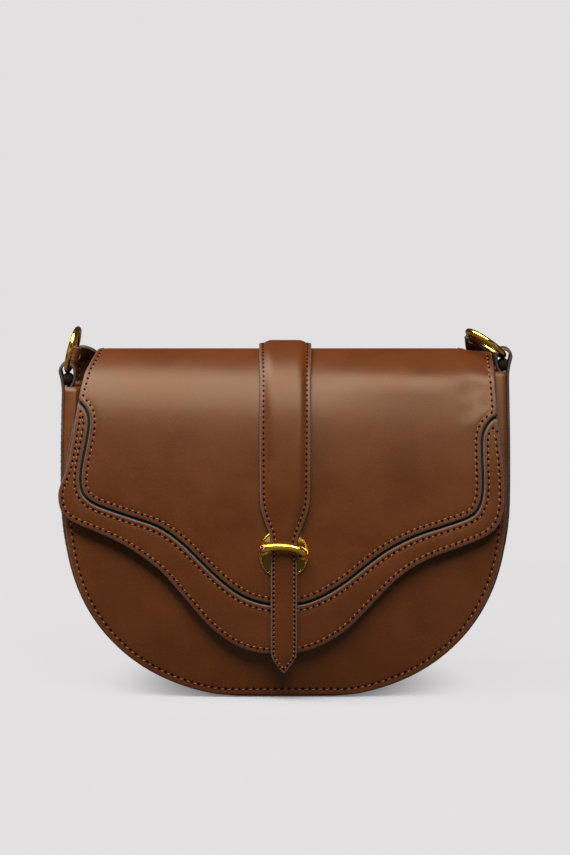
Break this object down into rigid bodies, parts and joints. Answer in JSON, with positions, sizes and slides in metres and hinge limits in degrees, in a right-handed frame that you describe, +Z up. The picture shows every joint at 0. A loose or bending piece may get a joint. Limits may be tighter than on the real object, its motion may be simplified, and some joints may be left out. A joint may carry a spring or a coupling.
{
  "type": "saddle handbag",
  "caption": "Round-bottomed saddle bag with a scalloped flap, a strap and tongue under a keeper bar, side rings and a shoulder strap.",
  "frame": {"origin": "middle of the flat base, on the surface the bag stands on", "axes": "+X to the wearer's right seen from the front, along the width; +Y from the flap's face to the back; +Z up"},
  "size_m": [0.2444, 0.1023, 0.1908],
  "materials": {
    "leather": "smooth semi-aniline calf with a low satin sheen",
    "leather_back": "darker split-side leather",
    "lining": "woven twill lining",
    "board": "stiffening board",
    "padding": "foam padding",
    "brass": "polished",
    "magnet": "nickel plated",
    "strap": "smooth leather strap"
  },
  "bodies": {
    "bag": {"front_panel": "leather", "back_panel": "leather", "gusset": "leather", "front_board": "board", "back_board": "board", "front_lining": "lining", "back_lining": "lining", "gusset_lining": "lining", "slip_pocket": "lining", "side_strip_left": "leather", "side_strip_right": "leather", "flap_anchor": "leather", "closure_strap_tail": "leather", "magnet_socket": "magnet", "magnet_socket_rivet": "magnet"},
    "flap": {"flap_fold": "leather", "flap_base": "leather_back", "flap_panel": "leather", "flap_border": "leather", "magnet_stud": "magnet", "closure_strap_fold": "leather", "closure_strap": "leather", "closure_strap_backing": "leather_back", "closure_strap_padding": "padding", "keeper_plate": "brass", "keeper_bar": "brass", "keeper_rivets": "brass"},
    "tongue_end": {"tongue": "leather", "tongue_backing": "leather_back"},
    "left_ring": {"ring_left": "brass", "strap_end_left": "strap", "strap_rivet_left": "brass"},
    "right_ring": {"ring_right": "brass", "strap_end_right": "strap", "strap_rivet_right": "brass"},
    "carry_strap": {"shoulder_strap": "strap"}
  },
  "joints": [
    {"name": "flap_hinge", "type": "hinge", "parent": "bag", "child": "flap", "pos_m": [0, 0.0325, 0.173], "axis": [-1, 0, 0], "range_deg": [0, 150], "deforming": ["flap_fold", "closure_strap_fold"]},
    {"name": "tongue_lift", "type": "hinge", "parent": "flap", "child": "tongue_end", "pos_m": [0, -0.0375, 0.07085], "axis": [-1, 0, 0], "range_deg": [0, 35]},
    {"name": "left_ring_swing", "type": "hinge", "parent": "bag", "child": "left_ring", "pos_m": [-0.1175, 0.02, 0.167], "axis": [0, 1, 0], "range_deg": [-14, 15]},
    {"name": "right_ring_swing", "type": "hinge", "parent": "bag", "child": "right_ring", "pos_m": [0.1175, 0.02, 0.175], "axis": [0, 1, 0], "range_deg": [0, 30]},
    {"name": "strap_swing", "type": "hinge", "parent": "bag", "child": "carry_strap", "pos_m": [0, 0.0465, 0.17], "axis": [1, 0, 0], "range_deg": [0, 150]}
  ]
}
